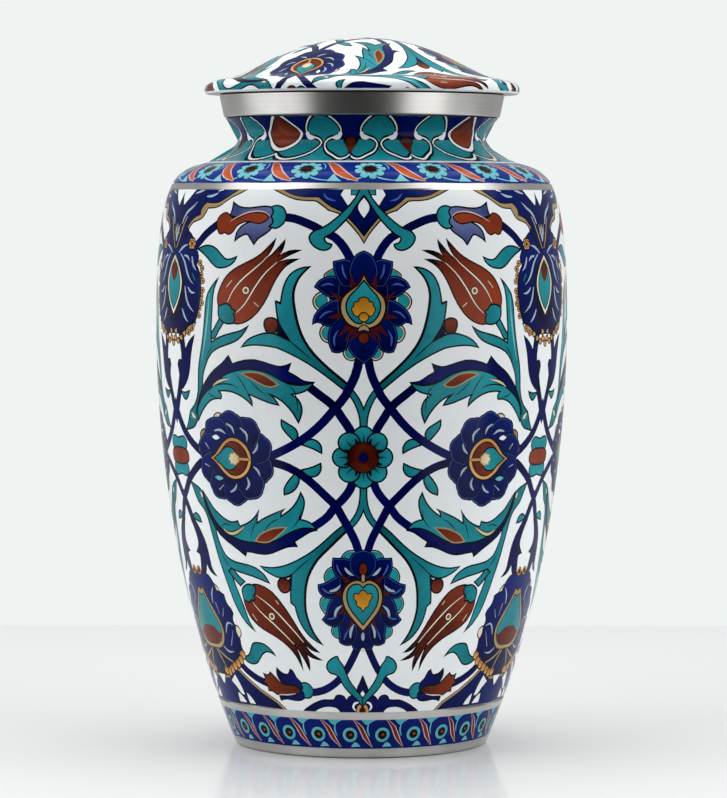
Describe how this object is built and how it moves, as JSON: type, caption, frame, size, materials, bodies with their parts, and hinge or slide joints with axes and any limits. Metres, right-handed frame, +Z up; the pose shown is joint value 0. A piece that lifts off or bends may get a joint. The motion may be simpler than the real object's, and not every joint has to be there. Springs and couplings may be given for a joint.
{
  "type": "funeral urn",
  "caption": "Round metal funeral urn with a full shoulder, short neck, bare collar and domed lift-off lid, enamelled with traditional tulip and palmette ornament.",
  "frame": {"origin": "the middle of the foot, on the surface that the urn stands on", "axes": "+Z up along the axis that every piece is turned round; -Y towards the viewer of the front column of the ornament"},
  "size_m": [0.1554, 0.1554, 0.2667],
  "materials": {
    "vessel_enamel": "glossy white enamel on metal, painted in cobalt, turquoise and red, with narrow bare metal bands",
    "bare_metal": "fine brushed, lines running round the axis",
    "lid_enamel": "glossy white enamel on metal, painted in cobalt, turquoise and red"
  },
  "bodies": {
    "root": {"body": "vessel_enamel", "neck_ring": "bare_metal", "lid": "lid_enamel"}
  },
  "joints": []
}
